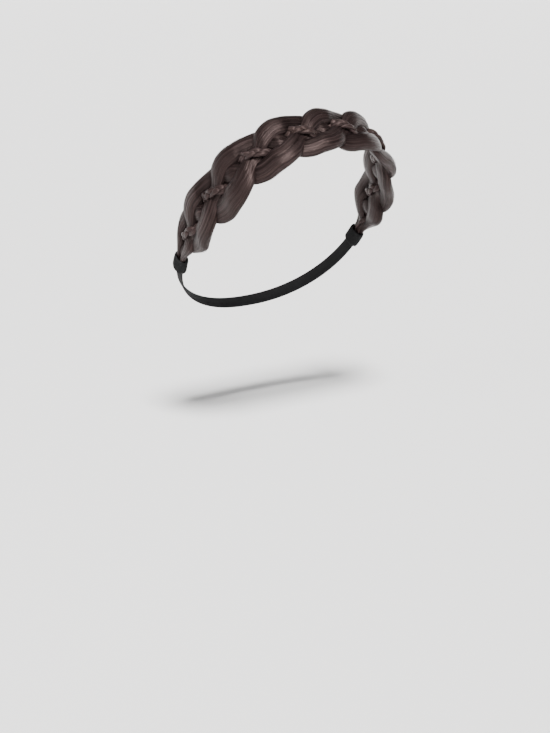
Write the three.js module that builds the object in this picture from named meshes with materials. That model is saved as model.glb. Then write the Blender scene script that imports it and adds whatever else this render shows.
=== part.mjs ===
import * as THREE from 'three';

// A braided headband of dark synthetic hair, millimetres, +Z up, the face towards -Y.
// Three thick hanks wind round each other as a flat rope, and a thin plait laced along the
// middle passes over each hank in turn. The band stands in one plane that leans back from the
// crown. The origin is the seat on the head, under the middle of the braid.

// The loop, measured along the middle of the braid
const LEAN_BACK = THREE.MathUtils.degToRad(35.4);
const LOOP_HALF_WIDTH = 89.2;
const CROWN_TO_WIDEST = 120.9;
const WIDEST_TO_NAPE = 85;
const UPPER_SQUARENESS = 2.4;
const LOWER_SQUARENESS = 2.2;

// The braid
const BRAID_WIDTH = 44;
const BRAID_THICKNESS = 13.6;
const BRAID_HALF_LENGTH = 190;
const HANK_COUNT = 3;
const HANK_SIDES = 9;
const HANK_STEPS = 100;
const PIECE_GAP = 0.75;
const NEIGHBOUR_STEP = 2.5;
const OVAL_SQUARENESS = 2.15;

// Where the thin plait passes over a hank, in crossing spacings from the crown, a little uneven
// as a braid made by hand is
const CROSSING_SPACING = 44;
const CROSSINGS = [
  { turn: -5, spacings: -4.5 },
  { turn: -4, spacings: -3.5 },
  { turn: -3, spacings: -2.47 },
  { turn: -2, spacings: -1.43 },
  { turn: -1, spacings: -0.44 },
  { turn: 0, spacings: 0.46 },
  { turn: 1, spacings: 1.48 },
  { turn: 2, spacings: 2.48 },
  { turn: 3, spacings: 3.5 },
  { turn: 4, spacings: 4.5 },
];

// The braid's ends are gathered into their bindings
const GATHER_LENGTH = 34;
const GATHERED_END = 7.5;
const GATHERED_WIDTH_SHARE = 0.26;
const GATHERED_THICKNESS_SHARE = 0.5;

// The thin plait
const PLAIT_WIDTH = 6.5;
const PLAIT_THICKNESS = 4.8;
const PLAIT_SWING = 5.0;
const PLAIT_RISE = 4.9;
const PLAIT_FLAT_TOP = 0.15;
const PLAIT_ROOM = 0.1;
const PLAIT_SHORTER = 1.5;
const FINE_COUNT = 3;
const FINE_HALF_WIDTH = 1.45;
const FINE_HALF_THICKNESS = 1.3;
const FINE_GAP = 0.75;
const FINE_NEIGHBOUR_STEP = 1.5;
const FINE_PERIOD = 30;
const FINE_SIDES = 5;
const FINE_STEPS_PER_PERIOD = 11;

// The bindings and the elastic strap
const BINDING_LENGTH = 14;
const BINDING_WALL = 1.0;
const BINDING_CLEARANCE = 1.1;
const BINDING_SIDES = 16;
const STRAP_WIDTH = 11;
const STRAP_THICKNESS = 1.8;
const STRAP_STEPS = 30;
const STRAP_START_GAP = 0.3;

// One hank over half of its turn, by the degrees away from where it passes over the top: 90 is
// out at the edge, widest just after it, and 180 is the middle of the underside. Out and up
// place its centre, wide and high are its half sizes, all as shares of the braid's half width or
// half thickness.
const HANK_SHAPE = [
  { away: 0, out: 0.0, up: -0.2, wide: 0.47, high: 0.56 },
  { away: 30, out: 0.38, up: 0.24, wide: 0.46, high: 0.63 },
  { away: 60, out: 0.59, up: 0.36, wide: 0.42, high: 0.65 },
  { away: 90, out: 0.6, up: 0.1, wide: 0.42, high: 0.82 },
  { away: 120, out: 0.59, up: -0.28, wide: 0.42, high: 0.7 },
  { away: 150, out: 0.4, up: -0.26, wide: 0.5, high: 0.62 },
  { away: 180, out: 0.0, up: 0.12, wide: 0.56, high: 0.56 },
];

// Lobes of the front edge that stand out further than the rest, by the crossing each follows
const FULL_LOBES = [
  { crossing: -3, fuller: 0.32 },
  { crossing: -2, fuller: 0.16 },
];

const TAU = Math.PI * 2;
const FULL_TURN = 360;
const HALF_WIDTH = BRAID_WIDTH / 2;
const HALF_THICKNESS = BRAID_THICKNESS / 2;
const FLATNESS = BRAID_WIDTH / BRAID_THICKNESS;
const PLAIT_HALF_LENGTH = BRAID_HALF_LENGTH - PLAIT_SHORTER;

// The loop's path: turn runs from 0 at the crown to PI at the nape
function loopPoint(turn) {
  const side = Math.sign(turn);
  const t = Math.abs(turn);
  const upper = t <= Math.PI / 2;
  const power = 2 / (upper ? UPPER_SQUARENESS : LOWER_SQUARENESS);
  const across = LOOP_HALF_WIDTH * Math.pow(Math.abs(Math.sin(t)), power);
  const rise = Math.pow(Math.abs(Math.cos(t)), power);
  const drop = upper
    ? CROWN_TO_WIDEST * (1 - rise)
    : CROWN_TO_WIDEST + WIDEST_TO_NAPE * rise;
  return new THREE.Vector2(side * across, drop);
}

const LOOP_SAMPLES = 4000;
const loopTable = [{ length: 0, point: loopPoint(0) }];
for (let i = 1; i <= LOOP_SAMPLES; i++) {
  const point = loopPoint((Math.PI * i) / LOOP_SAMPLES);
  const before = loopTable[i - 1];
  loopTable.push({ length: before.length + point.distanceTo(before.point), point });
}
const HALF_LOOP = loopTable[LOOP_SAMPLES].length;

// The point at a length along the loop from the crown, positive towards the left ear
function pointOnLoop(length) {
  const side = length < 0 ? -1 : 1;
  let s = Math.abs(length);
  let mirror = 1;
  if (s > HALF_LOOP) {
    s = 2 * HALF_LOOP - s;
    mirror = -1;
  }
  let low = 0;
  let high = LOOP_SAMPLES;
  while (high - low > 1) {
    const middle = (low + high) >> 1;
    if (loopTable[middle].length <= s) low = middle;
    else high = middle;
  }
  const a = loopTable[low];
  const b = loopTable[high];
  const share = (s - a.length) / (b.length - a.length);
  const p = a.point.clone().lerp(b.point, share);
  return new THREE.Vector2(side * mirror * p.x, p.y);
}

const DOWN = new THREE.Vector3(0, Math.sin(LEAN_BACK), -Math.cos(LEAN_BACK));
const REAR = new THREE.Vector3(0, Math.cos(LEAN_BACK), Math.sin(LEAN_BACK));
const SEAT_TO_CROWN = DOWN.clone().multiplyScalar(-HALF_THICKNESS);

// The frame on the loop: along it, towards the rear edge, and outwards from the head
function loopFrame(length) {
  const p = pointOnLoop(length);
  const ahead = pointOnLoop(length + 1).sub(pointOnLoop(length - 1)).normalize();
  const centre = SEAT_TO_CROWN.clone().addScaledVector(DOWN, p.y);
  centre.x += p.x;
  const along = DOWN.clone().multiplyScalar(ahead.y);
  along.x += ahead.x;
  const outward = DOWN.clone().multiplyScalar(-ahead.x);
  outward.x += ahead.y;
  return { centre, along, rear: REAR.clone(), outward };
}

function smoothStep(from, to, x) {
  const t = THREE.MathUtils.clamp((x - from) / (to - from), 0, 1);
  return t * t * (3 - 2 * t);
}

function hermite(t, a, slopeA, b, slopeB) {
  const t2 = t * t;
  const t3 = t2 * t;
  return (
    a * (2 * t3 - 3 * t2 + 1) +
    slopeA * (t3 - 2 * t2 + t) +
    b * (3 * t2 - 2 * t3) +
    slopeB * (t3 - t2)
  );
}

// How far the braid is drawn together at a length along it
function gather(length) {
  const to = BRAID_HALF_LENGTH - GATHERED_END;
  const t = smoothStep(to - GATHER_LENGTH, to, Math.abs(length));
  return {
    width: 1 + (GATHERED_WIDTH_SHARE - 1) * t,
    thickness: 1 + (GATHERED_THICKNESS_SHARE - 1) * t,
  };
}

function place(length, u, v) {
  const frame = loopFrame(length);
  const drawn = gather(length);
  return frame.centre
    .addScaledVector(frame.rear, u * drawn.width)
    .addScaledVector(frame.outward, v * drawn.thickness);
}

// How many crossings a point along the braid has passed, smooth between them
function crossingsPassed(length) {
  const rows = CROSSINGS;
  const here = length / CROSSING_SPACING;
  let i = 0;
  while (i < rows.length - 2 && here > rows[i + 1].spacings) i++;
  const a = rows[i];
  const b = rows[i + 1];
  const before = rows[Math.max(i - 1, 0)];
  const after = rows[Math.min(i + 2, rows.length - 1)];
  const span = b.spacings - a.spacings;
  const t = (here - a.spacings) / span;
  const slopeA = (span * (b.turn - before.turn)) / (b.spacings - before.spacings);
  const slopeB = (span * (after.turn - a.turn)) / (after.spacings - a.spacings);
  return hermite(t, a.turn, slopeA, b.turn, slopeB);
}

// The thin plait's centre in the braid's section: over the top from the rear edge's side to the
// front edge's side, down between two hanks, and back below the third
function plaitCentre(length) {
  const turn = TAU * crossingsPassed(length);
  const swing = Math.sin(turn) - Math.sin(3 * turn) / 9;
  const rise = Math.cos(turn) - (PLAIT_FLAT_TOP * Math.cos(3 * turn)) / 3;
  return new THREE.Vector2(
    -PLAIT_SWING * 0.9 * swing,
    (PLAIT_RISE * rise) / (1 - PLAIT_FLAT_TOP / 3),
  );
}

// The room that the plait takes in a section, taller where it dives
function plaitRoom(length) {
  const rise = plaitCentre(length + 0.5).y - plaitCentre(length - 0.5).y;
  const sway = plaitCentre(length + 0.5).x - plaitCentre(length - 0.5).x;
  return {
    centre: plaitCentre(length),
    wide: (PLAIT_WIDTH / 2 + PLAIT_ROOM) * Math.hypot(1, sway),
    high: (PLAIT_THICKNESS / 2 + PLAIT_ROOM) * Math.hypot(1, rise),
  };
}

function shapeAt(phase) {
  const turned = (((phase % FULL_TURN) + 1.5 * FULL_TURN) % FULL_TURN) - FULL_TURN / 2;
  const away = Math.abs(turned);
  const side = Math.sign(turned);
  const rows = HANK_SHAPE;
  let i = 0;
  while (i < rows.length - 2 && away > rows[i + 1].away) i++;
  const a = rows[i];
  const b = rows[i + 1];
  const t = (away - a.away) / (b.away - a.away);
  const mix = (name) => {
    const slopeA = i === 0 ? 0 : (b[name] - rows[i - 1][name]) / 2;
    const slopeB = i === rows.length - 2 ? 0 : (rows[i + 2][name] - a[name]) / 2;
    return hermite(t, a[name], slopeA, b[name], slopeB);
  };
  return {
    centre: new THREE.Vector2(side * mix('out') * HALF_WIDTH, mix('up') * HALF_THICKNESS),
    wide: mix('wide') * HALF_WIDTH,
    high: mix('high') * HALF_THICKNESS,
  };
}

// A hank's oval at a length along the braid
function hankShape(hank, length) {
  const turns = (crossingsPassed(length) + hank) / HANK_COUNT;
  const shape = shapeAt(FULL_TURN * turns);
  const crossing = HANK_COUNT * (Math.floor(turns) + 1) - 1 - hank;
  const lobe = FULL_LOBES.find((row) => row.crossing === crossing);
  const front = Math.max(0, -Math.sin(TAU * turns));
  const grown = 1 + (lobe ? lobe.fuller * front : 0);
  shape.centre.x *= grown;
  shape.wide *= grown;
  return shape;
}

// How far an oval reaches from its centre, with the heights stretched to the widths' scale
function reach(oval, nu, nv, flatness) {
  return Math.hypot(oval.wide * nu, oval.high * flatness * nv);
}

// An oval pressed flat against its neighbours, each a straight line that it stays behind
function pressedOval(own, neighbours, sides, flatness) {
  const lines = neighbours.map(({ shape, share, gap }) => {
    const du = shape.centre.x - own.centre.x;
    const dv = (shape.centre.y - own.centre.y) * flatness;
    const distance = Math.hypot(du, dv);
    const nu = du / distance;
    const nv = dv / distance;
    const ownReach = reach(own, nu, nv, flatness);
    const spare = distance - ownReach - reach(shape, nu, nv, flatness);
    return { nu, nv, stop: ownReach + spare * share - gap * Math.hypot(nu, nv * flatness) };
  });
  const points = [];
  for (let i = 0; i < sides; i++) {
    const angle = (TAU * (i + 0.5)) / sides;
    const c = Math.cos(angle);
    const d = Math.sin(angle);
    let pu = own.wide * Math.sign(c) * Math.pow(Math.abs(c), 2 / OVAL_SQUARENESS);
    let pv = own.high * flatness * Math.sign(d) * Math.pow(Math.abs(d), 2 / OVAL_SQUARENESS);
    for (const line of lines) {
      const out = pu * line.nu + pv * line.nv;
      if (out > line.stop && out > 0) {
        const kept = Math.min(1, Math.max(line.stop, 0.1) / out);
        pu *= kept;
        pv *= kept;
      }
    }
    points.push(new THREE.Vector2(own.centre.x + pu, own.centre.y + pv / flatness));
  }
  return points;
}

// A hank's section: pressed between the two other hanks and the thin plait
function hankSection(hank, length) {
  const drawn = gather(length);
  const gap = PIECE_GAP / Math.min(drawn.width, drawn.thickness);
  const neighbours = [];
  for (const nearby of [-NEIGHBOUR_STEP, 0, NEIGHBOUR_STEP]) {
    for (let other = 0; other < HANK_COUNT; other++) {
      if (other === hank) continue;
      const shape = hankShape(other, length + nearby);
      neighbours.push({ shape, share: 0.5, gap: gap / 2 });
    }
    neighbours.push({ shape: plaitRoom(length + nearby), share: 1, gap: gap * 0.7 });
  }
  return pressedOval(hankShape(hank, length), neighbours, HANK_SIDES, FLATNESS);
}

// A closed body through rings of points, each ring anticlockwise seen from its far end
function loft(rings, closed = false) {
  const sides = rings[0].length;
  const positions = [];
  for (const ring of rings) {
    for (const p of ring) positions.push(p.x, p.y, p.z);
  }
  const index = [];
  const last = closed ? rings.length : rings.length - 1;
  for (let i = 0; i < last; i++) {
    const next = (i + 1) % rings.length;
    for (let j = 0; j < sides; j++) {
      const k = (j + 1) % sides;
      const a = i * sides + j;
      const b = i * sides + k;
      const c = next * sides + k;
      const d = next * sides + j;
      index.push(a, b, c, a, c, d);
    }
  }
  if (!closed) {
    for (const [row, flip] of [[0, true], [rings.length - 1, false]]) {
      const middle = new THREE.Vector3();
      for (const p of rings[row]) middle.addScaledVector(p, 1 / sides);
      const centre = positions.length / 3;
      positions.push(middle.x, middle.y, middle.z);
      for (let j = 0; j < sides; j++) {
        const a = row * sides + j;
        const b = row * sides + ((j + 1) % sides);
        if (flip) index.push(centre, b, a);
        else index.push(centre, a, b);
      }
    }
  }
  const geometry = new THREE.BufferGeometry();
  geometry.setAttribute('position', new THREE.Float32BufferAttribute(positions, 3));
  geometry.setIndex(index);
  geometry.computeVertexNormals();
  return geometry;
}

function makeHank(hank) {
  const rings = [];
  for (let i = 0; i <= HANK_STEPS; i++) {
    const length = BRAID_HALF_LENGTH * ((2 * i) / HANK_STEPS - 1);
    rings.push(hankSection(hank, length).map((p) => place(length, p.x, p.y)));
  }
  return loft(rings);
}

// The thin plait's own frame, which follows it over and under the hanks
function plaitFrame(length) {
  const at = (s) => {
    const c = plaitCentre(s);
    return place(s, c.x, c.y);
  };
  const centre = at(length);
  const along = at(length + 0.5).sub(at(length - 0.5)).normalize();
  const side = REAR.clone().addScaledVector(along, -REAR.dot(along)).normalize();
  const up = new THREE.Vector3().crossVectors(along, side).normalize();
  return { centre, along, side, up };
}

function makeFineStrand(strand) {
  const travelled = [{ run: 0, length: -PLAIT_HALF_LENGTH }];
  const small = 0.5;
  let last = plaitFrame(-PLAIT_HALF_LENGTH).centre;
  for (let s = -PLAIT_HALF_LENGTH + small; s <= PLAIT_HALF_LENGTH + 1e-6; s += small) {
    const here = plaitFrame(s).centre;
    const run = travelled[travelled.length - 1].run + here.distanceTo(last);
    travelled.push({ run, length: s });
    last = here;
  }
  const total = travelled[travelled.length - 1].run;
  const lengthAt = (run) => {
    let i = 1;
    while (i < travelled.length - 1 && travelled[i].run < run) i++;
    const a = travelled[i - 1];
    const b = travelled[i];
    return a.length + ((b.length - a.length) * (run - a.run)) / (b.run - a.run);
  };
  const fineShape = (strandNumber, run) => {
    const turn = TAU * (run / FINE_PERIOD + strandNumber / FINE_COUNT);
    return {
      centre: new THREE.Vector2(
        (PLAIT_WIDTH / 2 - FINE_HALF_WIDTH) * Math.cos(turn),
        (PLAIT_THICKNESS / 2 - FINE_HALF_THICKNESS) * Math.sin(2 * turn),
      ),
      wide: FINE_HALF_WIDTH,
      high: FINE_HALF_THICKNESS,
    };
  };
  const steps = Math.round((total / FINE_PERIOD) * FINE_STEPS_PER_PERIOD);
  const rings = [];
  for (let i = 0; i <= steps; i++) {
    const run = (total * i) / steps;
    const length = lengthAt(run);
    const frame = plaitFrame(length);
    const drawn = gather(length);
    const neighbours = [];
    for (const nearby of [-FINE_NEIGHBOUR_STEP, 0, FINE_NEIGHBOUR_STEP]) {
      for (let other = 0; other < FINE_COUNT; other++) {
        if (other === strand) continue;
        const shape = fineShape(other, run + nearby);
        neighbours.push({ shape, share: 0.5, gap: FINE_GAP / 2 / drawn.width });
      }
    }
    const flatness = PLAIT_WIDTH / PLAIT_THICKNESS;
    const section = pressedOval(fineShape(strand, run), neighbours, FINE_SIDES, flatness);
    rings.push(
      section.map((p) =>
        frame.centre
          .clone()
          .addScaledVector(frame.side, p.x * drawn.width)
          .addScaledVector(frame.up, p.y * drawn.thickness),
      ),
    );
  }
  return loft(rings);
}

// A plain wrap round the gathered end: a short sleeve with rounded lips
const BINDING_RINGS = [
  { along: 0.5, wall: 0.0 },
  { along: 0.5, wall: 0.7 },
  { along: 0.4, wall: 1.0 },
  { along: -0.4, wall: 1.0 },
  { along: -0.5, wall: 0.7 },
  { along: -0.5, wall: 0.0 },
];

function makeBinding(side) {
  const middle = side * BRAID_HALF_LENGTH;
  const drawn = gather(middle);
  const innerWide = HALF_WIDTH * drawn.width + BINDING_CLEARANCE;
  const innerHigh = HALF_THICKNESS * drawn.thickness + BINDING_CLEARANCE;
  const rings = BINDING_RINGS.map((row) => {
    const frame = loopFrame(middle - row.along * BINDING_LENGTH);
    const ring = [];
    for (let j = 0; j < BINDING_SIDES; j++) {
      const angle = (TAU * j) / BINDING_SIDES;
      ring.push(
        frame.centre
          .clone()
          .addScaledVector(frame.rear, (innerWide + BINDING_WALL * row.wall) * Math.cos(angle))
          .addScaledVector(
            frame.outward,
            (innerHigh + BINDING_WALL * row.wall) * Math.sin(angle),
          ),
      );
    }
    return ring;
  });
  return loft(rings, true);
}

function makeStrap() {
  const from = BRAID_HALF_LENGTH + STRAP_START_GAP;
  const to = 2 * HALF_LOOP - from;
  const rings = [];
  for (let i = 0; i <= STRAP_STEPS; i++) {
    const frame = loopFrame(from + ((to - from) * i) / STRAP_STEPS);
    const corner = (u, v) =>
      frame.centre
        .clone()
        .addScaledVector(frame.rear, (u * STRAP_WIDTH) / 2)
        .addScaledVector(frame.outward, (v * STRAP_THICKNESS) / 2);
    rings.push([
      corner(1, 0.4), corner(0.9, 1), corner(-0.9, 1), corner(-1, 0.4),
      corner(-1, -0.4), corner(-0.9, -1), corner(0.9, -1), corner(1, -0.4),
    ]);
  }
  return loft(rings);
}

function addPiece(group, name, geometry, colour, roughness) {
  const material = new THREE.MeshStandardMaterial({ color: colour, roughness, metalness: 0 });
  const mesh = new THREE.Mesh(geometry, material);
  mesh.name = name;
  group.add(mesh);
}

const headband = new THREE.Group();
for (let hank = 0; hank < HANK_COUNT; hank++) {
  addPiece(headband, `hair_strand_${hank + 1}`, makeHank(hank), 0x3c302e, 0.45);
}
for (let strand = 0; strand < FINE_COUNT; strand++) {
  addPiece(headband, `mini_plait_strand_${strand + 1}`, makeFineStrand(strand), 0x4a3d3a, 0.45);
}
addPiece(headband, 'end_binding_right', makeBinding(-1), 0x1b1b1c, 0.7);
addPiece(headband, 'end_binding_left', makeBinding(1), 0x1b1b1c, 0.7);
addPiece(headband, 'elastic_strap', makeStrap(), 0x18181a, 0.8);

export default headband;
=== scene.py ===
import math

import bpy
import numpy as np
from mathutils import Matrix, Vector


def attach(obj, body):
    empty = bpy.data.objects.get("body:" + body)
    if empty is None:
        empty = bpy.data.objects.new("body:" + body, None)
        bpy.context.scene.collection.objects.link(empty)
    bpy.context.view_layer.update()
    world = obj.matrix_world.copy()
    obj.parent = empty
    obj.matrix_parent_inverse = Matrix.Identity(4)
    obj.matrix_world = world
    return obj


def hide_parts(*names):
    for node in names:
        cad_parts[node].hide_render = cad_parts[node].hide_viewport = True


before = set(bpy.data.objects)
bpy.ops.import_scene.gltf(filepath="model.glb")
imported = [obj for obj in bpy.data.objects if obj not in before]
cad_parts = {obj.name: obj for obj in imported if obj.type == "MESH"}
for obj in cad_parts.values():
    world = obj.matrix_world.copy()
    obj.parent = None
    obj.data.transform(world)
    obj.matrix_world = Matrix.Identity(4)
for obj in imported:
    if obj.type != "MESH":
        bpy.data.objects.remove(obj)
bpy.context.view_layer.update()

# A braided headband: three thick hanks of hair wound as a flat rope, a thin plait laced along
# their middle, a thread wound round each end, and an elastic strap round the back of the head.
# Lengths are in mm until MM turns them into metres. A place on the braid is s along it from the
# crown towards the left ear, u across it towards the rear edge, and v out from the head.
MM = 0.001
TAU = 2 * math.pi

# The loop and the braid, with the sizes of the CAD source
LEAN_BACK = math.radians(35.4)
LOOP_HALF_WIDTH = 89.2
CROWN_TO_WIDEST = 120.9
WIDEST_TO_NAPE = 85.0
UPPER_SQUARENESS = 2.4
LOWER_SQUARENESS = 2.2
LOOP_SAMPLES = 8001
LOOP_SLOPE_STEP = 1.0

BRAID_WIDTH = 44.0
BRAID_THICKNESS = 13.6
BRAID_HALF_LENGTH = 190.0
HANK_COUNT = 3
OVAL_SQUARENESS = 2.15

GATHER_LENGTH = 34.0
GATHERED_END = 7.5
GATHERED_WIDTH_SHARE = 0.26
GATHERED_THICKNESS_SHARE = 0.5

# The thin plait, shown slightly fuller than its solids, and wider where it dives between hanks
PLAIT_WIDTH = 7.3
PLAIT_THICKNESS = 5.2
PLAIT_SWING = 5.0
PLAIT_RISE = 5.2
PLAIT_FLAT_TOP = 0.15
PLAIT_SHORTER = 1.5
PLAIT_SPREAD = 0.3
PLAIT_SAMPLES = 4000
PLAIT_SLOPE_STEP = 0.5
FINE_COUNT = 3
FINE_HALF_WIDTH = 2.45
FINE_HALF_THICKNESS = 2.0
FINE_WEAVE = 1.15
FINE_PERIOD = 30.0

BINDING_LENGTH = 14.0
BINDING_WALL = 1.0
BINDING_CLEARANCE = 1.1
STRAP_WIDTH = 11.0
STRAP_THICKNESS = 1.8
STRAP_START_GAP = 0.3

# Where the thin plait passes over a hank, in crossing spacings from the crown
CROSSING_SPACING = 44.0
CROSSINGS = {
    "turn": [-5.0, -4.0, -3.0, -2.0, -1.0, 0.0, 1.0, 2.0, 3.0, 4.0],
    "spacings": [-4.5, -3.5, -2.47, -1.43, -0.44, 0.46, 1.48, 2.48, 3.5, 4.5],
}

# One hank over half of its turn, by the degrees away from where it passes over the top. Out and
# up place its centre, wide and high are its half sizes, all as shares of the braid's half width
# or half thickness.
HANK_SHAPE = {
    "away": [0.0, 30.0, 60.0, 90.0, 120.0, 150.0, 180.0],
    "out": [0.0, 0.38, 0.59, 0.6, 0.59, 0.4, 0.0],
    "up": [-0.2, 0.24, 0.36, 0.1, -0.28, -0.26, 0.12],
    "wide": [0.47, 0.46, 0.42, 0.42, 0.42, 0.5, 0.56],
    "high": [0.56, 0.63, 0.65, 0.82, 0.7, 0.62, 0.56],
}

# Lobes of the front edge that stand out further than the rest, by the crossing each follows
FULL_LOBES = {
    "crossing": [-3, -2],
    "fuller": [0.32, 0.16],
}

# How far strands press into each other, how sharply their sides flatten, and the least that is
# left of a side
HANK_PRESS = 2.0
PLAIT_PRESS = 2.7
FINE_PRESS = 0.15
HANK_HARDNESS = 7.0
FINE_HARDNESS = 10.0
LEAST_REACH = 0.6

# Points round and along a strand, and over how many of them its shape and the painted shade
# in its creases are softened, along it and round it
HANK_AROUND = 112
HANK_ALONG = 520
FINE_AROUND = 26
FINE_ALONG = 900
HANK_SOFTENED = (3.0, 2.0)
CREASE_SHADE_SOFTENED = (5.0, 3.0)
FINE_SOFTENED = 1.2

# The least size of a section that its ridges or a fibre's lift still push out in full
HANK_LEAST_SIZE = 2.0
FIBRE_LEAST_SIZE = 1.5
FINE_LEAST_SIZE = 0.6

# Ridges of fibres along a strand: the fewest and most that go round it, how many bends they
# have, their height, and how much painted highlight lightens their crests
HANK_BUNDLES = {"fewest": 11, "most": 24, "bends": 9, "height": 0.14, "crest_highlight": 0.11}
HANK_RIDGES = {"fewest": 28, "most": 50, "bends": 12, "height": 0.07, "crest_highlight": 0.09}
FINE_RIDGES = {"fewest": 5, "most": 11, "bends": 70, "height": 0.045, "crest_highlight": 0.1}
RIDGE_WEIGHTS = (0.3, 1.0)
RIDGE_DRIFT = 1.1
RIDGE_SWELL = 0.3
BUNDLE_EVENNESS = 0.8
HANK_SEED = 40
FINE_SEED = 90

# The tint of a strand, and how much painted shade darkens it where others press on it
HANK_TINT = 0.56
HANK_CREASE_SHADE = 4.8
FINE_TINT = 0.68
FINE_CREASE_SHADE = 1.7

# Loose fibres on a hank
FIBRES_ON_HANK = 62
FIBRE_SPANS = (50, 190)
FIBRE_END_ROOM = 4
FIBRE_STEP = 1.6
FIBRE_RADII = (0.06, 0.1)
FIBRE_TINTS = (0.35, 0.95)
FIBRE_DRIFT = 0.2
FIBRE_DRIFT_BENDS = 6
FIBRE_LEAST_LIFT = 0.1
FIBRE_MOST_LIFT = 0.9
FIBRE_LIFT_BENDS = 7
FIBRE_END_DEPTH = 0.25
FIBRE_END_RADIUS = 0.3
FIBRE_LOOSENESS = (0.2, 1.0)
FIBRE_CORNERS = 3
FIBRE_ASIDE = 0.3

# How far a material's pattern runs across: round a strand or a binding in mm for each radian,
# and over half of the strap's width. A loose fibre takes one place of the hanks' pattern.
HANK_PATTERN = 8.0
FINE_PATTERN = 1.6
BINDING_PATTERN = 7.0
STRAP_PATTERN = 6.0
FIBRE_PATTERN_PLACES = (0, 50)

HALF_WIDTH = BRAID_WIDTH / 2
HALF_THICKNESS = BRAID_THICKNESS / 2
FLATNESS = BRAID_WIDTH / BRAID_THICKNESS
PLAIT_HALF_LENGTH = BRAID_HALF_LENGTH - PLAIT_SHORTER

# Directions down the loop's own plane and towards the braid's rear edge
DOWN = np.array([0.0, math.sin(LEAN_BACK), -math.cos(LEAN_BACK)])
REAR = np.array([0.0, math.cos(LEAN_BACK), math.sin(LEAN_BACK)])


def unit(vectors):
    return vectors / np.linalg.norm(vectors, axis=1)[:, None]


# The loop's path by its length from the crown
def loop_table():
    turn = np.linspace(0, math.pi, LOOP_SAMPLES)
    upper = turn <= math.pi / 2
    power = np.where(upper, 2 / UPPER_SQUARENESS, 2 / LOWER_SQUARENESS)
    across = LOOP_HALF_WIDTH * np.abs(np.sin(turn)) ** power
    rise = np.abs(np.cos(turn)) ** power
    drop = np.where(
        upper,
        CROWN_TO_WIDEST * (1 - rise),
        CROWN_TO_WIDEST + WIDEST_TO_NAPE * rise,
    )
    length = np.concatenate([[0], np.cumsum(np.hypot(np.diff(across), np.diff(drop)))])
    return length, across, drop


LOOP_LENGTH, LOOP_ACROSS, LOOP_DROP = loop_table()
HALF_LOOP = LOOP_LENGTH[-1]


# The loop's points at lengths along it, positive towards the left ear
def on_loop(s):
    s = np.asarray(s, float)
    side = np.where(s < 0, -1.0, 1.0)
    length = np.abs(s)
    beyond = length > HALF_LOOP
    length = np.where(beyond, 2 * HALF_LOOP - length, length)
    side = np.where(beyond, -side, side)
    across = np.interp(length, LOOP_LENGTH, LOOP_ACROSS)
    drop = np.interp(length, LOOP_LENGTH, LOOP_DROP)
    return side * across, drop


# The loop's point and the direction away from the head at lengths along it
def loop_frame(s):
    across, drop = on_loop(s)
    across_ahead, drop_ahead = on_loop(np.asarray(s) + LOOP_SLOPE_STEP)
    across_behind, drop_behind = on_loop(np.asarray(s) - LOOP_SLOPE_STEP)
    along_across = across_ahead - across_behind
    along_drop = drop_ahead - drop_behind
    step = np.hypot(along_across, along_drop)
    centre = -DOWN * HALF_THICKNESS + drop[..., None] * DOWN
    centre[..., 0] += across
    outward = -(along_across / step)[..., None] * DOWN
    outward[..., 0] += along_drop / step
    return centre, outward


# A curve from a to b that leaves and arrives with the given slopes
def hermite(t, a, slope_a, b, slope_b):
    return (
        a * (2 * t**3 - 3 * t**2 + 1)
        + slope_a * (t**3 - 2 * t**2 + t)
        + b * (3 * t**2 - 2 * t**3)
        + slope_b * (t**3 - t**2)
    )


def smooth_step(a, b, x):
    t = np.clip((x - a) / (b - a), 0, 1)
    return t * t * (3 - 2 * t)


# How far the braid's width and thickness are drawn together at lengths along it
def gather(s):
    to = BRAID_HALF_LENGTH - GATHERED_END
    t = smooth_step(to - GATHER_LENGTH, to, np.abs(s))
    return 1 + (GATHERED_WIDTH_SHARE - 1) * t, 1 + (GATHERED_THICKNESS_SHARE - 1) * t


# Points in space at places on the braid
def place(s, u, v):
    centre, outward = loop_frame(s)
    wide, thick = gather(s)
    return centre + REAR * (u * wide)[..., None] + outward * (v * thick)[..., None]


# How many crossings a point along the braid has passed, smooth between them
def crossings_passed(s):
    turn = CROSSINGS["turn"]
    at = [CROSSING_SPACING * spacings for spacings in CROSSINGS["spacings"]]
    last = len(at) - 1
    passed = np.zeros_like(s)
    for i in range(last):
        before = max(i - 1, 0)
        after = min(i + 2, last)
        span = at[i + 1] - at[i]
        slope_a = span * (turn[i + 1] - turn[before]) / (at[i + 1] - at[before])
        slope_b = span * (turn[after] - turn[i]) / (at[after] - at[i])
        curve = hermite((s - at[i]) / span, turn[i], slope_a, turn[i + 1], slope_b)
        inside = (s >= at[i]) & (s <= at[i + 1])
        passed = np.where(inside, curve, passed)
    return passed


# The thin plait's centre in the braid's section: over the top from the rear edge's side to the
# front edge's side, down between two hanks, and back below the third
def plait_centre(s):
    turn = TAU * crossings_passed(s)
    swing = (np.sin(turn) - np.sin(3 * turn) / 9) / (1 + 1 / 9)
    rise = np.cos(turn) - PLAIT_FLAT_TOP * np.cos(3 * turn) / 3
    return -PLAIT_SWING * swing, PLAIT_RISE * rise / (1 - PLAIT_FLAT_TOP / 3)


# The room that the thin plait takes in a section, wider and taller where it runs across
def plait_room(s):
    u_behind, v_behind = plait_centre(s - PLAIT_SLOPE_STEP)
    u_ahead, v_ahead = plait_centre(s + PLAIT_SLOPE_STEP)
    u_slope = (u_ahead - u_behind) / (2 * PLAIT_SLOPE_STEP)
    v_slope = (v_ahead - v_behind) / (2 * PLAIT_SLOPE_STEP)
    u, v = plait_centre(s)
    return {
        "u": u,
        "v": v,
        "wide": (PLAIT_WIDTH / 2 - PLAIT_PRESS) * np.hypot(1, u_slope),
        "high": (PLAIT_THICKNESS / 2 - PLAIT_PRESS) * np.hypot(1, v_slope),
    }


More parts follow.
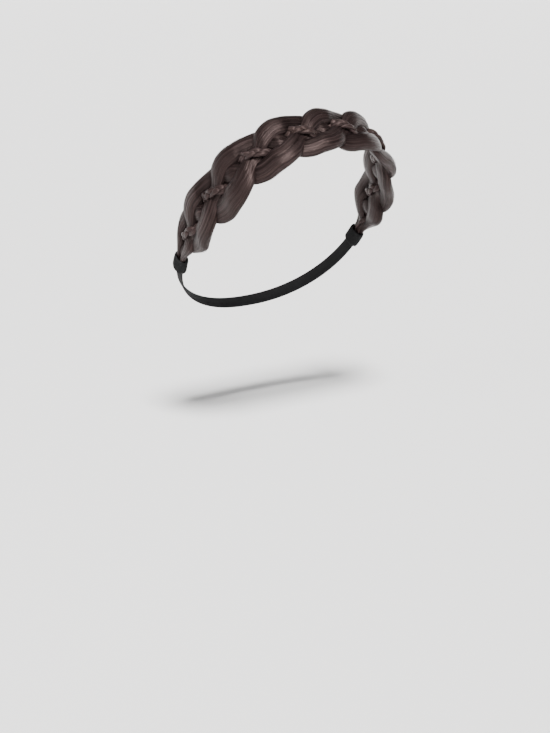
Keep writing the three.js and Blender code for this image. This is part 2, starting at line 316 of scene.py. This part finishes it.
# A smooth curve through one column of a hank's shape, level at both ends
def shape_column(name, away):
    rows = HANK_SHAPE[name]
    degrees = HANK_SHAPE["away"]
    last = len(rows) - 1
    curve = np.zeros_like(away)
    for i in range(last):
        a, b = rows[i], rows[i + 1]
        slope_a = 0.0 if i == 0 else (b - rows[i - 1]) / 2
        slope_b = 0.0 if i == last - 1 else (rows[i + 2] - a) / 2
        t = (away - degrees[i]) / (degrees[i + 1] - degrees[i])
        inside = (away >= degrees[i]) & (away <= degrees[i + 1])
        curve = np.where(inside, hermite(t, a, slope_a, b, slope_b), curve)
    return curve


# A hank's oval at lengths along the braid, wider and further out in a fuller lobe
def hank_oval(hank, s):
    turns = (crossings_passed(s) + hank) / HANK_COUNT
    turned = np.mod(360 * turns + 180, 360) - 180
    away = np.abs(turned)
    front = np.maximum(0, -np.sin(TAU * turns))
    crossing = HANK_COUNT * (np.floor(turns) + 1) - 1 - hank
    grown = np.ones_like(s)
    for number, fuller in zip(FULL_LOBES["crossing"], FULL_LOBES["fuller"]):
        grown += np.where(crossing == number, fuller * front, 0)
    return {
        "u": np.sign(turned) * shape_column("out", away) * HALF_WIDTH * grown,
        "v": shape_column("up", away) * HALF_THICKNESS,
        "wide": shape_column("wide", away) * HALF_WIDTH * grown,
        "high": shape_column("high", away) * HALF_THICKNESS,
    }


# An oval pressed softly against its neighbours, and how far it is pressed in. Rows are lengths
# and columns are angles. Each neighbour has its share of the room between the two, and the
# length that it may be pressed into.
def pressed(own, neighbours, angles, flatness, hardness):
    across, up = np.cos(angles), np.sin(angles)
    power = 2 / OVAL_SQUARENESS
    u = own["wide"][:, None] * (np.sign(across) * np.abs(across) ** power)[None, :]
    v = own["high"][:, None] * flatness * (np.sign(up) * np.abs(up) ** power)[None, :]
    total = np.ones_like(u)
    for shape, share, press in neighbours:
        du = shape["u"] - own["u"]
        dv = (shape["v"] - own["v"]) * flatness
        distance = np.hypot(du, dv)
        nu, nv = du / distance, dv / distance
        own_reach = np.hypot(own["wide"] * nu, own["high"] * flatness * nv)
        other_reach = np.hypot(shape["wide"] * nu, shape["high"] * flatness * nv)
        spare = distance - own_reach - other_reach
        stop = own_reach + spare * share + press * np.hypot(nu, nv * flatness)
        stop = np.maximum(stop, LEAST_REACH)
        out = u * nu[:, None] + v * nv[:, None]
        total += np.maximum(out / stop[:, None], 0) ** hardness
    kept = total ** (-1 / hardness)
    return u * kept, v * kept / flatness, 1 - kept


# A section pushed outwards from its own centre
def pushed_out(u, v, lift, least_size):
    swell = 1 + lift / np.maximum(np.hypot(u, v), least_size)
    return u * swell, v * swell


# A grid blurred along its rows, with its ends held
def softened_along(grid, width):
    reach = int(3 * width)
    weights = np.exp(-0.5 * (np.arange(-reach, reach + 1) / width) ** 2)
    weights /= weights.sum()
    padded = np.concatenate([grid[:1].repeat(reach, 0), grid, grid[-1:].repeat(reach, 0)])
    soft = np.zeros_like(grid)
    for i, weight in enumerate(weights):
        soft += weight * padded[i : i + len(grid)]
    return soft


# A grid blurred along its columns, which go round
def softened_around(grid, width):
    reach = int(3 * width)
    soft = np.zeros_like(grid)
    total = 0.0
    for shift in range(-reach, reach + 1):
        weight = math.exp(-0.5 * (shift / width) ** 2)
        soft += weight * np.roll(grid, shift, 1)
        total += weight
    return soft / total


def softened(grid, widths):
    return softened_around(softened_along(grid, widths[0]), widths[1])


# Smooth random numbers along a run of points
def wander(rng, count, bends):
    values = rng.normal(0, 1, bends + 4)
    x = np.linspace(1, bends + 1, count)
    i = np.floor(x).astype(int)
    before, here, ahead, beyond = (values[i + step] for step in (-1, 0, 1, 2))
    return hermite(x - i, here, (ahead - before) / 2, ahead, (beyond - here) / 2)


# Ridges that run along a strand and drift, part and join on the way
def ridges(rng, angles, count, kind):
    grid = np.zeros((count, len(angles)))
    total = 0.0
    for frequency in range(kind["fewest"], kind["most"] + 1):
        weight = rng.uniform(*RIDGE_WEIGHTS)
        drift = rng.uniform(0, TAU) + RIDGE_DRIFT * wander(rng, count, kind["bends"])
        swell = 1 - RIDGE_SWELL + RIDGE_SWELL * wander(rng, count, kind["bends"])
        wave = np.cos(frequency * angles[None, :] + drift[:, None])
        grid += (weight * swell)[:, None] * wave
        total += weight**2 / 2
    return grid / math.sqrt(total)


# Quads between rings of points, the last ring joined to the first where the run is closed
def tube_faces(rows, columns, first=0, closed=False):
    i = np.arange(rows if closed else rows - 1)[:, None] * columns
    j = np.arange(columns)[None, :]
    next_j = (j + 1) % columns
    next_i = (i + columns) % (rows * columns)
    quads = np.stack([i + j, i + next_j, next_i + next_j, next_i + j], -1)
    return quads.reshape(-1, 4) + first


# A smooth mesh in the scene, with each point's place on its strand and its tint, with painted
# shade and highlight, where given
def add_mesh(name, points, faces, places=None, tints_and_shading=None):
    mesh = bpy.data.meshes.new(name)
    mesh.from_pydata(points.tolist(), [], faces)
    if places is not None:
        corners = np.zeros(len(mesh.loops), np.int32)
        mesh.loops.foreach_get("vertex_index", corners)
        layer = mesh.uv_layers.new(name="strand")
        layer.data.foreach_set("uv", places[corners].astype(np.float32).ravel())
    if tints_and_shading is not None:
        layer = mesh.attributes.new("tint_and_shading", "FLOAT", "POINT")
        layer.data.foreach_set("value", tints_and_shading.astype(np.float32))
    mesh.polygons.foreach_set("use_smooth", [True] * len(mesh.polygons))
    mesh.update()
    obj = bpy.data.objects.new(name, mesh)
    bpy.context.scene.collection.objects.link(obj)
    return obj


class Tubes:
    """Points and faces of many closed tubes that become one mesh."""

    def __init__(self):
        self.points = []
        self.faces = []
        self.places = []
        self.tints_and_shading = []
        self.count = 0

    def add(self, rings, around, along, tint_and_shading):
        rows, columns, _ = rings.shape
        places = np.zeros((rows, columns, 2))
        places[..., 0] = around
        places[..., 1] = along
        tints_and_shading = np.broadcast_to(tint_and_shading, (rows, columns)).reshape(-1)
        start = self.count
        self.points.append(rings.reshape(-1, 3))
        self.faces.append(tube_faces(rows, columns, start))
        self.places.append(places.reshape(-1, 2))
        self.tints_and_shading.append(tints_and_shading)
        self.count += rows * columns
        for row, flip in ((0, True), (rows - 1, False)):
            self.points.append(rings[row].mean(0)[None, :])
            self.places.append(places[row, 0][None, :])
            self.tints_and_shading.append(tints_and_shading[:1])
            ring = start + row * columns + np.arange(columns)
            turned = np.roll(ring, -1)
            centre = np.full(columns, self.count)
            fan = [centre, turned, ring] if flip else [centre, ring, turned]
            self.faces.append(np.stack(fan, -1))
            self.count += 1

    def build(self, name):
        faces = []
        for part in self.faces:
            faces.extend(part.tolist())
        points = np.concatenate(self.points) * MM
        places = np.concatenate(self.places)
        tints_and_shading = np.concatenate(self.tints_and_shading)
        return add_mesh(name, points, faces, places, tints_and_shading)


# Rings of a few points round a thin fibre
def fibre_rings(path, radius):
    along = unit(np.gradient(path, axis=0))
    side = unit(np.cross(along, REAR + FIBRE_ASIDE))
    up = np.cross(side, along)
    rings = []
    for corner in range(FIBRE_CORNERS):
        angle = TAU * corner / FIBRE_CORNERS
        rings.append(path + radius[:, None] * (math.cos(angle) * side + math.sin(angle) * up))
    return np.stack(rings, 1)


# A grid's values at places between its rows and columns, where the columns go round
def between(grid, row, column):
    rows, columns = grid.shape
    i = np.clip(row.astype(int), 0, rows - 2)
    j = column.astype(int) % columns
    next_j = (j + 1) % columns
    row_share = row - i
    column_share = column - np.floor(column)
    near = grid[i, j] * (1 - column_share) + grid[i, next_j] * column_share
    far = grid[i + 1, j] * (1 - column_share) + grid[i + 1, next_j] * column_share
    return near * (1 - row_share) + far * row_share


# One loose fibre that follows a hank's surface, lifts off it a little and dips in at its ends
def add_fibre(tubes, rng, own, s, hank_u, hank_v):
    span = rng.uniform(*FIBRE_SPANS)
    middle = rng.uniform(-BRAID_HALF_LENGTH, BRAID_HALF_LENGTH)
    farthest = BRAID_HALF_LENGTH - FIBRE_END_ROOM
    low = max(middle - span / 2, -farthest)
    high = min(middle + span / 2, farthest)
    count = int((high - low) / FIBRE_STEP) + 4
    path_s = np.linspace(low, high, count)
    angle = rng.uniform(0, TAU) + FIBRE_DRIFT * wander(rng, count, FIBRE_DRIFT_BENDS)
    loose = FIBRE_MOST_LIFT * rng.uniform(*FIBRE_LOOSENESS) ** 3
    ends = np.sin(np.linspace(0, math.pi, count)) ** 0.5
    raised = (1 + np.tanh(wander(rng, count, FIBRE_LIFT_BENDS))) / 2
    lifted = (FIBRE_LEAST_LIFT + loose * raised) * ends - FIBRE_END_DEPTH * (1 - ends)
    row = (path_s / BRAID_HALF_LENGTH + 1) / 2 * (HANK_ALONG - 1)
    column = np.mod(angle / TAU * HANK_AROUND - 0.5, HANK_AROUND)
    u, v = between(hank_u, row, column), between(hank_v, row, column)
    u, v = pushed_out(u, v, lifted, FIBRE_LEAST_SIZE)
    u += np.interp(path_s, s, own["u"])
    v += np.interp(path_s, s, own["v"])
    radius = rng.uniform(*FIBRE_RADII) * (FIBRE_END_RADIUS + (1 - FIBRE_END_RADIUS) * ends)
    rings = fibre_rings(place(path_s, u, v), radius)
    around = rng.uniform(*FIBRE_PATTERN_PLACES)
    tubes.add(rings, around, path_s[:, None], rng.uniform(*FIBRE_TINTS))


# One thick hank, pressed between the two others and the thin plait, with ridges and fibres
def make_hank(hank):
    rng = np.random.default_rng(HANK_SEED + hank)
    s = np.linspace(-BRAID_HALF_LENGTH, BRAID_HALF_LENGTH, HANK_ALONG)
    angles = TAU * (np.arange(HANK_AROUND) + 0.5) / HANK_AROUND
    own = hank_oval(hank, s)
    others = [number for number in range(HANK_COUNT) if number != hank]
    neighbours = [(hank_oval(number, s), 0.5, HANK_PRESS) for number in others]
    neighbours.append((plait_room(s), 1.0, 0.0))
    u, v, crease_shade = pressed(own, neighbours, angles, FLATNESS, HANK_HARDNESS)
    u, v = softened(u, HANK_SOFTENED), softened(v, HANK_SOFTENED)
    crease_shade = softened(crease_shade, CREASE_SHADE_SOFTENED)
    bundles = np.tanh(BUNDLE_EVENNESS * ridges(rng, angles, HANK_ALONG, HANK_BUNDLES))
    fine = ridges(rng, angles, HANK_ALONG, HANK_RIDGES)
    lift = HANK_BUNDLES["height"] * bundles + HANK_RIDGES["height"] * fine
    u, v = pushed_out(u, v, lift, HANK_LEAST_SIZE)
    # Painted highlight: the ridges' crests are painted lighter
    crest_highlight = HANK_BUNDLES["crest_highlight"] * bundles + HANK_RIDGES["crest_highlight"] * fine
    along = s[:, None]
    rings = place(along, own["u"][:, None] + u, own["v"][:, None] + v)
    # The tint, lightened by painted highlight on the crests and darkened by painted shade in the
    # creases
    tint_and_shading = HANK_TINT + crest_highlight - HANK_CREASE_SHADE * crease_shade
    tubes = Tubes()
    tubes.add(rings, angles * HANK_PATTERN, along, tint_and_shading)
    for _ in range(FIBRES_ON_HANK):
        add_fibre(tubes, rng, own, s, u, v)
    return tubes.build(f"hair_hank_{hank + 1}")


# The thin plait's middle line in space
def plait_point(s):
    u, v = plait_centre(s)
    return place(s, u, v)


# Evenly spaced lengths along the thin plait's own path, and where on the braid they lie
def plait_run():
    s = np.linspace(-PLAIT_HALF_LENGTH, PLAIT_HALF_LENGTH, PLAIT_SAMPLES)
    steps = np.linalg.norm(np.diff(plait_point(s), axis=0), axis=1)
    travelled = np.concatenate([[0], np.cumsum(steps)])
    run = np.linspace(0, travelled[-1], FINE_ALONG)
    return run, np.interp(run, travelled, s)


# One fine strand's oval in the thin plait's section
def fine_oval(strand, run, fuller):
    turn = TAU * (run / FINE_PERIOD + strand / FINE_COUNT)
    return {
        "u": (PLAIT_WIDTH / 2 - FINE_HALF_WIDTH) * fuller * np.cos(turn),
        "v": (PLAIT_THICKNESS / 2 - FINE_HALF_THICKNESS) * FINE_WEAVE * np.sin(2 * turn),
        "wide": FINE_HALF_WIDTH * fuller,
        "high": np.full_like(run, FINE_HALF_THICKNESS),
    }


# One fine strand of the thin plait, in sections that stand across the plait's own path
def make_fine_strand(strand):
    rng = np.random.default_rng(FINE_SEED + strand)
    run, s = plait_run()
    along = unit(plait_point(s + PLAIT_SLOPE_STEP) - plait_point(s - PLAIT_SLOPE_STEP))
    side = unit(REAR[None, :] - along * (along @ REAR)[:, None])
    up = np.cross(along, side)
    wide, thick = gather(s)
    fuller = 1 + PLAIT_SPREAD * np.sin(TAU * crossings_passed(s)) ** 2
    own = fine_oval(strand, run, fuller)
    others = [number for number in range(FINE_COUNT) if number != strand]
    neighbours = [(fine_oval(number, run, fuller), 0.5, FINE_PRESS) for number in others]
    angles = TAU * (np.arange(FINE_AROUND) + 0.5) / FINE_AROUND
    flatness = PLAIT_WIDTH / PLAIT_THICKNESS
    u, v, crease_shade = pressed(own, neighbours, angles, flatness, FINE_HARDNESS)
    u, v = softened_along(u, FINE_SOFTENED), softened_along(v, FINE_SOFTENED)
    fine = ridges(rng, angles, FINE_ALONG, FINE_RIDGES)
    u, v = pushed_out(u, v, FINE_RIDGES["height"] * fine, FINE_LEAST_SIZE)
    u = (own["u"][:, None] + u) * wide[:, None]
    v = (own["v"][:, None] + v) * thick[:, None]
    rings = (
        plait_point(s)[:, None, :]
        + side[:, None, :] * u[..., None]
        + up[:, None, :] * v[..., None]
    )
    # The tint, lightened by painted highlight on the ridges' crests and darkened by painted shade
    # where the other fine strands press in
    tint_and_shading = FINE_TINT + FINE_RIDGES["crest_highlight"] * np.tanh(fine) - FINE_CREASE_SHADE * crease_shade
    tubes = Tubes()
    tubes.add(rings, angles * FINE_PATTERN, run[:, None], tint_and_shading)
    return tubes.build(f"plait_strand_{strand + 1}")


# The thread wound round a gathered end: turns of thread on the outside, plain inside
THREAD_TURNS = 11
THREAD_STEPS = 8
THREAD_RELIEF = 0.42
THREAD_SLANT = 0.35
LIP_SHARE = 0.55
LIP_STEEPNESS = 6
BINDING_SIDES = 72


def make_binding(side, name):
    middle = side * BRAID_HALF_LENGTH
    wide, thick = gather(middle)
    inner_wide = HALF_WIDTH * wide + BINDING_CLEARANCE
    inner_high = HALF_THICKNESS * thick + BINDING_CLEARANCE
    profile = []
    steps = THREAD_TURNS * THREAD_STEPS
    for i in range(steps + 1):
        t = i / steps
        thread = abs(math.sin(math.pi * t * THREAD_TURNS))
        lip = min(1.0, LIP_STEEPNESS * t, LIP_STEEPNESS * (1 - t))
        wall = BINDING_WALL * (LIP_SHARE + (1 - LIP_SHARE) * lip)
        profile.append((0.5 - t, wall - THREAD_RELIEF * (1 - thread)))
    for i in range(THREAD_STEPS + 1):
        profile.append((i / THREAD_STEPS - 0.5, 0.0))
    angles = TAU * np.arange(BINDING_SIDES) / BINDING_SIDES
    rings = []
    for along, wall in profile:
        lengths = middle - along * BINDING_LENGTH + THREAD_SLANT * np.sin(angles) * (wall > 0)
        centre, outward = loop_frame(lengths)
        ring = (
            centre
            + REAR * ((inner_wide + wall) * np.cos(angles))[:, None]
            + outward * ((inner_high + wall) * np.sin(angles))[:, None]
        )
        rings.append(ring)
    points = np.array(rings).reshape(-1, 3) * MM
    places = np.zeros((len(profile), BINDING_SIDES, 2))
    places[..., 0] = angles * BINDING_PATTERN
    places[..., 1] = np.array([along for along, _ in profile])[:, None] * BINDING_LENGTH
    faces = tube_faces(len(profile), BINDING_SIDES, closed=True).tolist()
    return add_mesh(name, points, faces, places.reshape(-1, 2))


# The elastic strap: woven ribs along it, on both faces
STRAP_RIBS = 9
STRAP_RIB_STEPS = 8
STRAP_RIB_HEIGHT = 0.16
STRAP_ALONG = 420
STRAP_EDGE_POWER = 8
STRAP_EDGE_LEAST = 0.12


def make_strap():
    start = BRAID_HALF_LENGTH + STRAP_START_GAP
    s = np.linspace(start, 2 * HALF_LOOP - start, STRAP_ALONG)
    across = np.linspace(1, -1, STRAP_RIBS * STRAP_RIB_STEPS + 1)
    rib = STRAP_RIB_HEIGHT * np.abs(np.cos(math.pi * STRAP_RIBS * (across + 1) / 2))
    edge = np.sqrt(np.clip(1 - np.abs(across) ** STRAP_EDGE_POWER, STRAP_EDGE_LEAST, 1))
    half = STRAP_THICKNESS / 2 * edge - STRAP_RIB_HEIGHT + rib
    u = np.concatenate([across, across[::-1]]) * STRAP_WIDTH / 2
    v = np.concatenate([half, -half[::-1]])
    centre, outward = loop_frame(s)
    rings = (
        centre[:, None, :]
        + REAR[None, None, :] * u[None, :, None]
        + outward[:, None, :] * v[None, :, None]
    )
    around = np.concatenate([across, 2 - across[::-1]]) * STRAP_PATTERN
    tubes = Tubes()
    tubes.add(rings, around, s[:, None], tint_and_shading=0.5)
    return tubes.build("woven_strap")


# Materials, whose patterns follow each point's place on its strand
NOISE_ALONG_SHARE = 0.7
MIX_SHARE = 0
MIX_FIRST_COLOUR = 6
MIX_SECOND_COLOUR = 7
MIX_RESULT_COLOUR = 2


def node_material(name):
    material = bpy.data.materials.new(name)
    material.use_nodes = True
    tree = material.node_tree
    return material, tree, tree.nodes["Principled BSDF"]


def add_node(tree, kind, **values):
    node = tree.nodes.new(kind)
    for key, value in values.items():
        setattr(node, key, value)
    return node


# The places on a strand, with a scale across and along it, moved to a part of the noise of its own
def strand_vector(tree, across, along, offset):
    uv = add_node(tree, "ShaderNodeUVMap", uv_map="strand")
    mapping = add_node(tree, "ShaderNodeMapping")
    mapping.inputs["Scale"].default_value = (across, along, 1.0)
    mapping.inputs["Location"].default_value = (offset, offset * NOISE_ALONG_SHARE, 0.0)
    tree.links.new(uv.outputs["UV"], mapping.inputs["Vector"])
    return mapping.outputs["Vector"]


def noise(tree, vector, detail, roughness):
    node = add_node(tree, "ShaderNodeTexNoise")
    node.inputs["Scale"].default_value = 1.0
    node.inputs["Detail"].default_value = detail
    node.inputs["Roughness"].default_value = roughness
    tree.links.new(vector, node.inputs["Vector"])
    return node.outputs["Fac"]


# A colour for each value, from a list of values with their colours
def ramp(tree, fac, stops):
    node = add_node(tree, "ShaderNodeValToRGB")
    elements = node.color_ramp.elements
    while len(elements) < len(stops):
        elements.new(0.5)
    for element, (position, colour) in zip(elements, stops):
        element.position = position
        element.color = (*colour, 1.0)
    tree.links.new(fac, node.inputs["Fac"])
    return node.outputs["Color"]


# A value moved from one range to another, and held inside it
def remapped(tree, value, source, target):
    node = add_node(tree, "ShaderNodeMapRange")
    node.inputs["From Min"].default_value, node.inputs["From Max"].default_value = source
    node.inputs["To Min"].default_value, node.inputs["To Max"].default_value = target
    tree.links.new(value, node.inputs["Value"])
    return node.outputs["Result"]


# Two colours mixed, where the share and each colour is a constant or another node's output
def mixed_colour(tree, blend, share, a, b):
    node = add_node(tree, "ShaderNodeMix", data_type="RGBA", blend_type=blend)
    for value, socket in ((share, MIX_SHARE), (a, MIX_FIRST_COLOUR), (b, MIX_SECOND_COLOUR)):
        if hasattr(value, "links"):
            tree.links.new(value, node.inputs[socket])
        elif socket == MIX_SHARE:
            node.inputs[socket].default_value = value
        else:
            node.inputs[socket].default_value = (*value, 1.0)
    return node.outputs[MIX_RESULT_COLOUR]


def add_bump(tree, shader, height, strength, distance):
    bump = add_node(tree, "ShaderNodeBump")
    bump.inputs["Strength"].default_value = strength
    bump.inputs["Distance"].default_value = distance
    tree.links.new(height, bump.inputs["Height"])
    tree.links.new(bump.outputs["Normal"], shader.inputs["Normal"])


# Hair: fine streaks along the strand, some of them warm, and both darker and duller by the tint,
# which carries painted shade in the creases and painted highlight on the ridges' crests
def hair_material(name, dark, middle, light, warm, seed, gloss):
    material, tree, shader = node_material(name)
    fibre_places = strand_vector(tree, across=1.6, along=0.008, offset=seed)
    lock_places = strand_vector(tree, across=1.3, along=0.009, offset=seed + 3)
    fibres = noise(tree, fibre_places, detail=6.0, roughness=0.8)
    locks = noise(tree, lock_places, detail=3.0, roughness=0.6)
    streaks = ramp(tree, fibres, [(0.34, dark), (0.5, middle), (0.66, light)])
    warm_share = ramp(tree, locks, [(0.56, (0, 0, 0)), (0.74, (0.6, 0.6, 0.6))])
    streaks = mixed_colour(tree, "MIX", warm_share, streaks, warm)
    tint_and_shading = add_node(tree, "ShaderNodeAttribute", attribute_name="tint_and_shading").outputs["Fac"]
    # The colour scaled by the tint, so painted shade darkens the creases and painted highlight
    # lightens the crests
    tone_and_shading = remapped(tree, tint_and_shading, source=(0.0, 0.8), target=(0.12, 1.5))
    colour = mixed_colour(tree, "MULTIPLY", 1.0, streaks, tone_and_shading)
    shine = remapped(tree, tint_and_shading, source=(0.0, 0.6), target=(0.3, 0.78))
    tangent = add_node(tree, "ShaderNodeTangent", direction_type="UV_MAP", uv_map="strand")
    tree.links.new(colour, shader.inputs["Base Color"])
    tree.links.new(shine, shader.inputs["Specular IOR Level"])
    tree.links.new(tangent.outputs["Tangent"], shader.inputs["Tangent"])
    shader.inputs["Roughness"].default_value = gloss
    shader.inputs["IOR"].default_value = 1.22
    shader.inputs["Specular Tint"].default_value = (1.0, 0.74, 0.70, 1.0)
    shader.inputs["Anisotropic"].default_value = 0.75
    relief_places = strand_vector(tree, across=9.0, along=0.03, offset=seed + 7)
    relief = noise(tree, relief_places, detail=4.0, roughness=0.7)
    add_bump(tree, shader, relief, strength=0.6, distance=0.0002)
    return material


# Thread or woven elastic: yarn in two dark tones, with little gloss
def thread_material(name, dark, light, across, along, seed):
    material, tree, shader = node_material(name)
    yarn = noise(tree, strand_vector(tree, across, along, seed), detail=4.0, roughness=0.6)
    colour = ramp(tree, yarn, [(0.3, dark), (0.7, light)])
    tree.links.new(colour, shader.inputs["Base Color"])
    shader.inputs["Roughness"].default_value = 0.8
    shader.inputs["Specular IOR Level"].default_value = 0.2
    add_bump(tree, shader, yarn, strength=0.5, distance=0.00015)
    return material


hair = hair_material(
    "hair",
    dark=(0.0014, 0.0009, 0.0009),
    middle=(0.0098, 0.0063, 0.0062),
    light=(0.047, 0.0325, 0.0322),
    warm=(0.037, 0.0218, 0.0172),
    seed=1.0,
    gloss=0.34,
)
plait_hair = hair_material(
    "plait_hair",
    dark=(0.0038, 0.0025, 0.0024),
    middle=(0.0150, 0.0098, 0.0096),
    light=(0.050, 0.0355, 0.0345),
    warm=(0.036, 0.0225, 0.0180),
    seed=11.0,
    gloss=0.44,
)
binding_thread = thread_material(
    "binding_thread",
    dark=(0.003, 0.003, 0.003),
    light=(0.011, 0.011, 0.012),
    across=0.6,
    along=4.0,
    seed=2.0,
)
elastic_weave = thread_material(
    "elastic_weave",
    dark=(0.003, 0.003, 0.0035),
    light=(0.012, 0.012, 0.013),
    across=3.0,
    along=2.2,
    seed=5.0,
)


# A piece's material and what the frame needs to know of it
def dress(obj, material, node):
    obj.data.materials.append(material)
    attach(obj, "root")
    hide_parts(node)


for hank in range(HANK_COUNT):
    dress(make_hank(hank), hair, f"hair_strand_{hank + 1}")
for strand in range(FINE_COUNT):
    piece = make_fine_strand(strand)
    dress(piece, plait_hair, f"mini_plait_strand_{strand + 1}")
dress(make_binding(-1, "wound_end_right"), binding_thread, "end_binding_right")
dress(make_binding(1, "wound_end_left"), binding_thread, "end_binding_left")
dress(make_strap(), elastic_weave, "elastic_strap")

# A round pale floor that curves up all round into a backdrop, in metres
FLOOR_HEIGHT = -0.26
FLOOR_RADIUS = 3.0
FLOOR_RING_SHARES = (0.01, 0.5)
BACKDROP_RADIUS = 6.0
BACKDROP_HEIGHT = 2.2
BACKDROP_SIDES = 96
BACKDROP_STEPS = 20


def make_backdrop():
    angles = TAU * np.arange(BACKDROP_SIDES) / BACKDROP_SIDES
    profile = [(FLOOR_RADIUS * share, 0.0) for share in FLOOR_RING_SHARES]
    for i in range(BACKDROP_STEPS + 1):
        turn = math.pi / 2 * i / BACKDROP_STEPS
        radius = FLOOR_RADIUS + (BACKDROP_RADIUS - FLOOR_RADIUS) * math.sin(turn)
        profile.append((radius, BACKDROP_HEIGHT * (1 - math.cos(turn))))
    rings = np.zeros((len(profile), BACKDROP_SIDES, 3))
    for row, (radius, height) in enumerate(profile):
        rings[row, :, 0] = radius * np.cos(angles)
        rings[row, :, 1] = radius * np.sin(angles)
        rings[row, :, 2] = FLOOR_HEIGHT + height
    faces = tube_faces(len(profile), BACKDROP_SIDES)[:, ::-1].tolist()
    faces.append(list(range(BACKDROP_SIDES)))
    backdrop = add_mesh("backdrop", rings.reshape(-1, 3), faces)
    material, _, shader = node_material("pale_paper")
    shader.inputs["Base Color"].default_value = (0.93, 0.93, 0.93, 1.0)
    shader.inputs["Roughness"].default_value = 0.95
    shader.inputs["Specular IOR Level"].default_value = 0.1
    backdrop.data.materials.append(material)


make_backdrop()

# The lights, in metres, all aimed at the middle of the headband
LIT_POINT = Vector((0.0, 0.04, -0.07))
WARM_WHITE = (1.0, 0.99, 0.98)
COOL_WHITE = (0.98, 0.99, 1.0)
KEY_SPREAD = math.radians(14)
AREA_LIGHT_SIZE = 0.8


def add_light(name, kind, stands_at, power, colour):
    light = bpy.data.lights.new(name, kind)
    light.energy = power
    light.color = colour
    lamp = bpy.data.objects.new(name, light)
    lamp.location = stands_at
    aim = LIT_POINT - Vector(stands_at)
    lamp.rotation_euler = aim.to_track_quat("-Z", "Y").to_euler()
    bpy.context.scene.collection.objects.link(lamp)
    return light


key = add_light("key", "SUN", stands_at=(-0.6, -1.3, 2.2), power=8.4, colour=WARM_WHITE)
key.angle = KEY_SPREAD
side_light = add_light("side", "AREA", stands_at=(-1.5, -0.3, 0.9), power=7.0, colour=WARM_WHITE)
back_light = add_light("back", "AREA", stands_at=(0.6, 1.5, 1.3), power=1.5, colour=COOL_WHITE)
for light in (side_light, back_light):
    light.shape = "DISK"
    light.size = AREA_LIGHT_SIZE

world = bpy.data.worlds.new("studio")
world.use_nodes = True
sky = world.node_tree.nodes["Background"]
sky.inputs["Color"].default_value = (0.93, 0.94, 0.95, 1)
sky.inputs["Strength"].default_value = 0.08
bpy.context.scene.world = world

# The camera stands where the photograph was taken from: the head's centre is at one picture
# point, and the distance and lens give its scale in the frame
CAMERA_TURN = math.radians(-33.6)
CAMERA_RISE = math.radians(13.8)
CAMERA_ROLL = math.radians(-0.2)
CAMERA_DISTANCE = 1.8
SENSOR_WIDTH = 36.0
PIXELS_PER_MM = 1.203
FRAME_WIDTH_PIXELS = 550
FRAME_HEIGHT_PIXELS = 733
HEAD_PIXEL_X = 303.7
HEAD_PIXEL_Y = 259.3
CROWN_ON_HEAD = np.array([-1.5, -30.7, 113.3])


def make_camera():
    back = np.array([
        math.sin(CAMERA_TURN) * math.cos(CAMERA_RISE),
        -math.cos(CAMERA_TURN) * math.cos(CAMERA_RISE),
        math.sin(CAMERA_RISE),
    ])
    right = np.array([math.cos(CAMERA_TURN), math.sin(CAMERA_TURN), 0.0])
    up = np.cross(back, right)
    rolled_right = right * math.cos(CAMERA_ROLL) + up * math.sin(CAMERA_ROLL)
    rolled_up = up * math.cos(CAMERA_ROLL) - right * math.sin(CAMERA_ROLL)
    seat_on_head = CROWN_ON_HEAD + DOWN * HALF_THICKNESS
    head_centre = -seat_on_head * MM
    lens = bpy.data.cameras.new("camera")
    lens.sensor_width = SENSOR_WIDTH
    lens.lens = SENSOR_WIDTH * PIXELS_PER_MM * CAMERA_DISTANCE / MM / FRAME_HEIGHT_PIXELS
    lens.shift_x = (FRAME_WIDTH_PIXELS / 2 - HEAD_PIXEL_X) / FRAME_HEIGHT_PIXELS
    lens.shift_y = (HEAD_PIXEL_Y - FRAME_HEIGHT_PIXELS / 2) / FRAME_HEIGHT_PIXELS
    camera = bpy.data.objects.new("camera", lens)
    facing = Matrix([rolled_right, rolled_up, back]).transposed().to_4x4()
    camera.matrix_world = Matrix.Translation(head_centre + back * CAMERA_DISTANCE) @ facing
    bpy.context.scene.collection.objects.link(camera)
    bpy.context.scene.camera = camera


make_camera()
